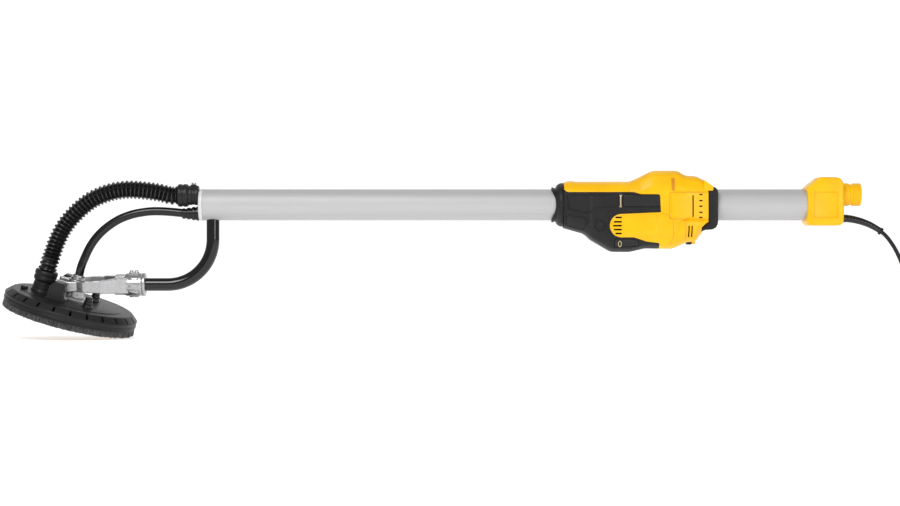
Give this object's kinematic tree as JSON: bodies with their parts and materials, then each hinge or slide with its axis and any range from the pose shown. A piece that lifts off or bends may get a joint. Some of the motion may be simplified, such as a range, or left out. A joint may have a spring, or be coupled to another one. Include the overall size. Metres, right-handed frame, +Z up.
{
  "type": "pole drywall sander",
  "caption": "Long-reach corded wall and ceiling sander: motor on a straight pole, gimballed round sanding head, dust hose, flexible drive shaft and rear extraction port.",
  "frame": {"origin": "middle of the tool's own box in X and Y, without the free supply cord, at the height of the floor that the brush skirt touches", "axes": "+X along the pole from the sanding head to the dust port, +Y away from the side with the start and stop pads, +Z up"},
  "size_m": [1.7611, 0.2422, 0.301],
  "materials": {
    "satin_aluminium": "satin anodised",
    "cast_aluminium": "fine sand-cast, lightly tumbled",
    "steel": "machined",
    "copper": "wound copper and bars",
    "yellow_plastic": "semi-gloss moulding",
    "black_plastic": "fine moulded texture",
    "black_rubber": "matt to semi-gloss",
    "black_paint": "gloss powder coat",
    "grey_plastic": "moulded",
    "bristle": "dense nylon bristle",
    "foam": "closed-cell foam",
    "abrasive": "grit on hook-and-loop backing"
  },
  "bodies": {
    "pole": {"front_tube": "satin_aluminium", "rear_tube": "satin_aluminium", "pole_front_plug": "grey_plastic", "front_dust_duct": "grey_plastic", "rear_dust_duct": "grey_plastic", "straight_shaft_casing": "black_rubber", "neck_tube": "black_paint", "dust_hose_upper": "black_rubber", "shaft_casing_upper": "black_rubber", "upper_hose_cuff": "black_rubber", "shaft_boot": "black_rubber", "housing_shell_near": "yellow_plastic", "housing_shell_far": "yellow_plastic", "grip_cover_near": "black_plastic", "grip_cover_far": "black_plastic", "housing_screw_1": "steel", "housing_screw_2": "steel", "housing_screw_3": "steel", "housing_screw_4": "steel", "front_collar": "black_rubber", "rear_grip_ring": "black_rubber", "motor_stator": "steel", "front_motor_bearing": "steel", "rear_motor_bearing": "steel", "gearcase_plate": "cast_aluminium", "brush_holder_near": "copper", "brush_holder_far": "copper", "switch_module": "grey_plastic", "end_cap": "yellow_plastic", "dust_port": "yellow_plastic", "strain_relief": "black_rubber", "cord_run": "black_rubber", "cord_coil": "black_rubber", "mains_plug": "black_plastic"},
    "fork": {"fork_casting": "cast_aluminium", "pivot_pin_near": "steel", "pivot_pin_far": "steel"},
    "head": {"shroud": "black_plastic", "brush_skirt": "bristle", "spindle_bracket": "cast_aluminium", "spindle_bearing": "steel", "shaft_nut": "steel", "lower_hose_cuff": "black_rubber", "pivot_block_near": "black_plastic", "pivot_block_far": "black_plastic", "bumper_near": "black_rubber", "bumper_far": "black_rubber", "dust_hose_lower": "black_rubber", "shaft_casing_lower": "black_rubber"},
    "pad": {"pad_spindle": "steel", "backing_plate": "black_plastic", "foam_pad": "foam", "abrasive_disc": "abrasive"},
    "motor_armature": {"armature": "copper", "cooling_fan": "grey_plastic"},
    "drive_shaft": {"output_gear": "steel", "flexible_core": "steel"},
    "on_button": {"on_pad": "black_plastic"},
    "off_button": {"off_pad": "black_plastic"},
    "dial": {"speed_dial": "black_plastic"}
  },
  "joints": [
    {"name": "fork_swivel", "type": "hinge", "parent": "pole", "child": "fork", "pos_m": [-0.535, -0.0049, 0.0967], "axis": [1, 0, 0], "range_deg": [-51.25, 38.75], "deforming": ["dust_hose_upper", "shaft_casing_upper"]},
    {"name": "head_tilt", "type": "hinge", "parent": "fork", "child": "head", "pos_m": [-0.6645, -0.0049, 0.0967], "axis": [0, 0.9941, 0.1089], "range_deg": [-6.5, 60], "deforming": ["dust_hose_lower", "shaft_casing_lower"]},
    {"name": "pad_spin", "type": "hinge", "parent": "head", "child": "pad", "pos_m": [-0.65302, 0.00099, 0.04293], "axis": [0.257, -0.1052, 0.9607], "continuous": true},
    {"name": "drive_spin", "type": "hinge", "parent": "pole", "child": "drive_shaft", "pos_m": [0.28, -0.0049, 0.2225], "axis": [1, 0, 0], "continuous": true},
    {"name": "armature_spin", "type": "hinge", "parent": "pole", "child": "motor_armature", "pos_m": [0.35, -0.0049, 0.20355], "axis": [1, 0, 0], "continuous": true},
    {"name": "on_press", "type": "slide", "parent": "pole", "child": "on_button", "axis": [0, 1, 0], "range_m": [0, 0.002], "stiffness_N_per_m": 600},
    {"name": "off_press", "type": "slide", "parent": "pole", "child": "off_button", "axis": [0, 1, 0], "range_m": [0, 0.002], "stiffness_N_per_m": 600},
    {"name": "dial_turn", "type": "hinge", "parent": "pole", "child": "dial", "pos_m": [0.438, -0.0049, 0.236], "axis": [0, 1, 0], "range_deg": [0, 270]}
  ],
  "couplings": [
    {"joint": "drive_spin", "follows": "pad_spin", "ratio": 1},
    {"joint": "armature_spin", "follows": "pad_spin", "ratio": -5.7143}
  ]
}
